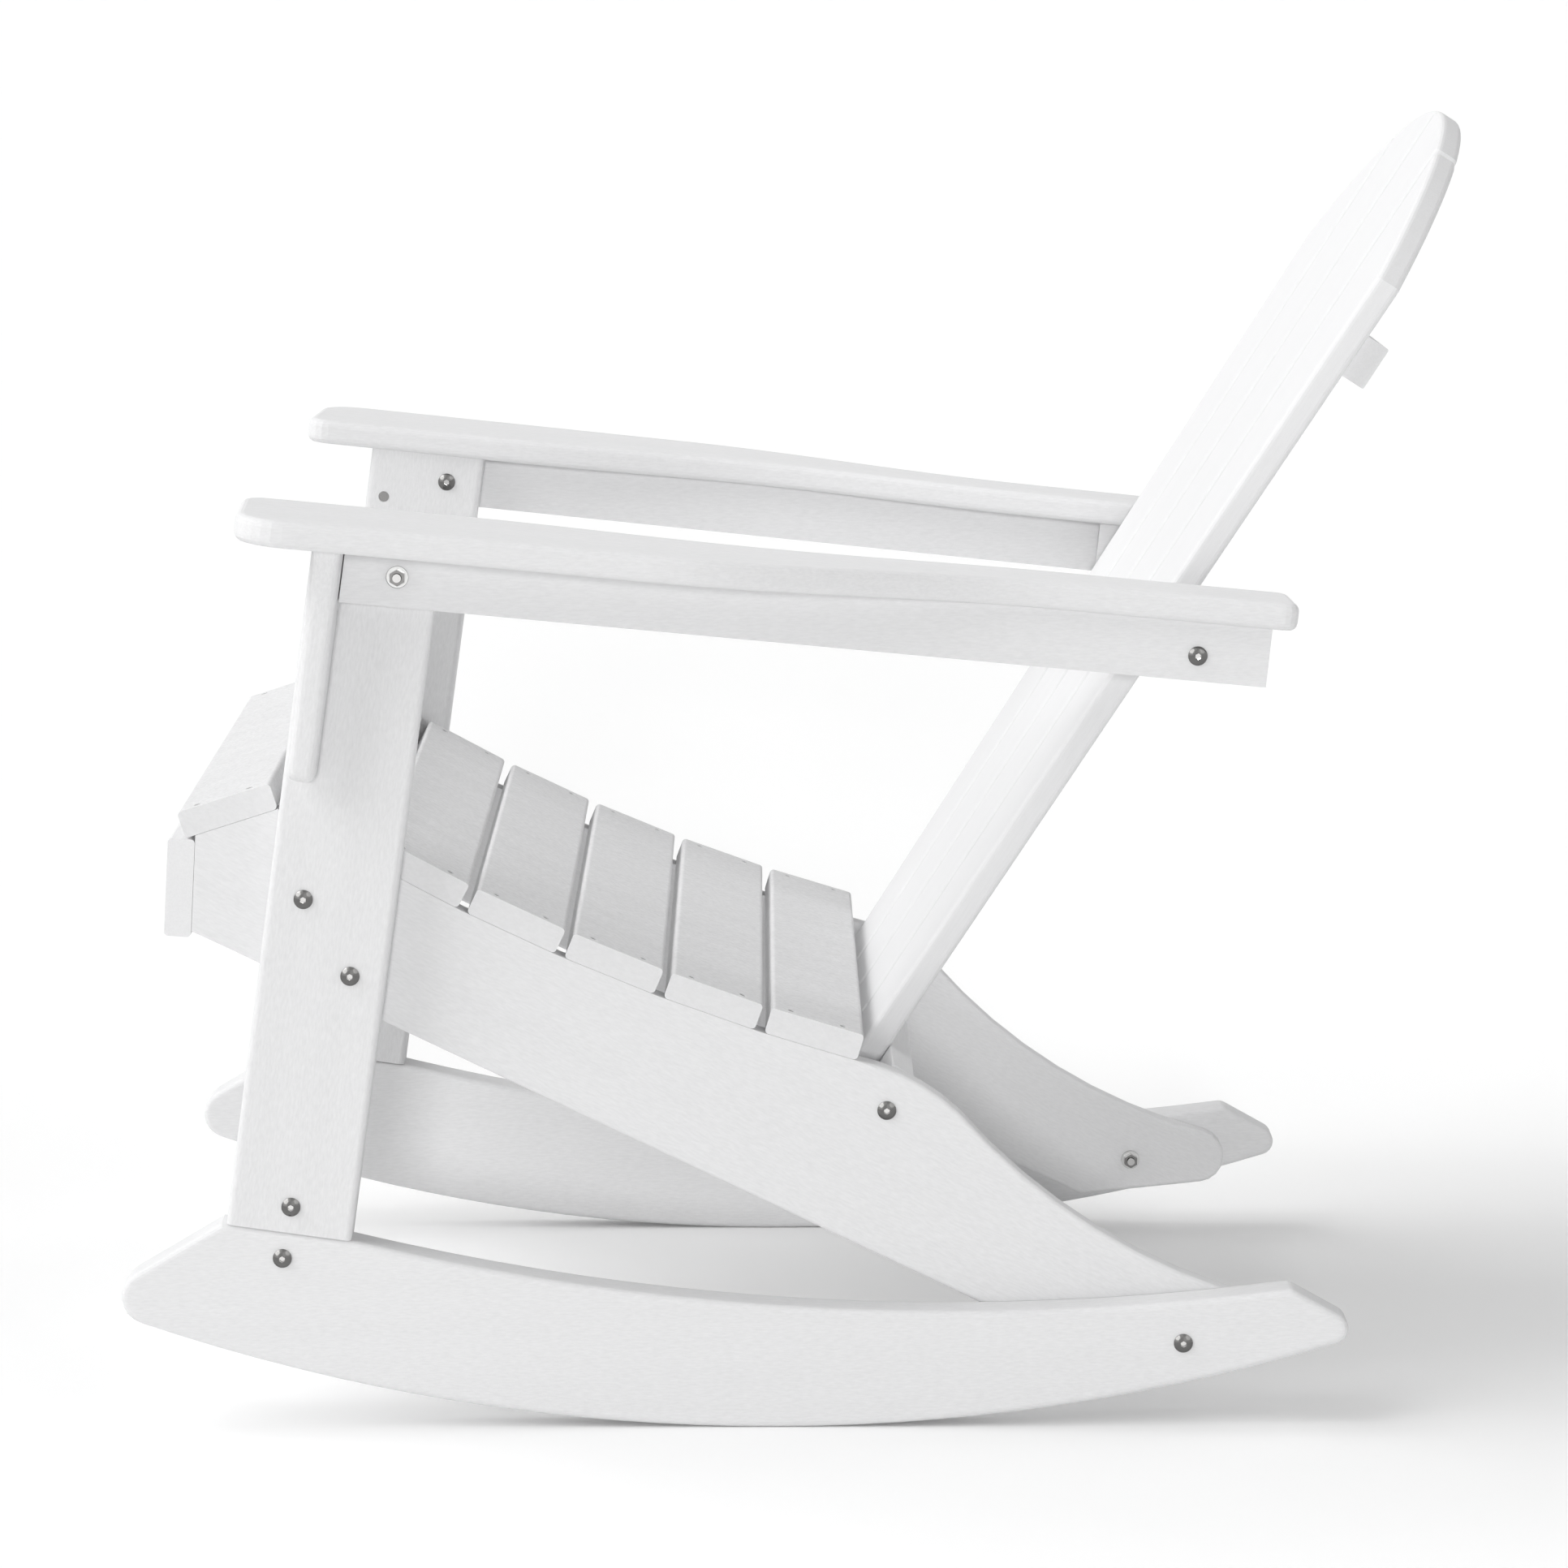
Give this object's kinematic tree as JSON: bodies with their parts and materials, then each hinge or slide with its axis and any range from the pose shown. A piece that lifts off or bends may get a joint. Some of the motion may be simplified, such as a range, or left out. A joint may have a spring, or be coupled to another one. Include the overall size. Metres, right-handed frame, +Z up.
{
  "type": "rocking adirondack chair",
  "caption": "Slatted outdoor rocking chair with curved rockers, broad arms, a dished slat seat and a fanned, leaning back with an arched top.",
  "frame": {"origin": "on the floor, at the centre of the chair's bounding box seen from above", "axes": "+Z up, -Y towards the front of the chair, +X to the sitter's left"},
  "size_m": [0.7734, 0.9666, 0.9175],
  "materials": {
    "lumber": "white poly lumber with a fine brushed grain and eased edges",
    "steel": "polished stainless steel fasteners"
  },
  "bodies": {
    "root": {"rocker_left": "lumber", "rocker_right": "lumber", "leg_left": "lumber", "leg_right": "lumber", "leg_tenon_left": "lumber", "leg_tenon_right": "lumber", "stringer_left": "lumber", "stringer_right": "lumber", "arm_rail_left": "lumber", "arm_rail_right": "lumber", "rail_block_left": "lumber", "rail_block_right": "lumber", "armrest_left": "lumber", "armrest_right": "lumber", "arm_bracket_left": "lumber", "arm_bracket_right": "lumber", "apron": "lumber", "seat_slat_1": "lumber", "seat_slat_2": "lumber", "seat_slat_3": "lumber", "seat_slat_4": "lumber", "seat_slat_5": "lumber", "seat_slat_6": "lumber", "seat_slat_7": "lumber", "back_slat_1": "lumber", "back_slat_2": "lumber", "back_slat_3": "lumber", "back_slat_4": "lumber", "lower_back_rail": "lumber", "middle_back_rail": "lumber", "upper_brace": "lumber", "stringer_bolts": "steel", "tenon_bolts": "steel", "rocker_rear_bolts": "steel", "arm_front_bolts": "steel", "middle_rail_bolts": "steel", "lower_rail_bolts": "steel", "hex_nuts": "steel", "washers": "steel", "barrel_nuts": "steel", "seat_screws": "steel", "apron_screws": "steel", "back_screws": "steel", "bracket_screws": "steel", "arm_screws": "steel"}
  },
  "joints": []
}
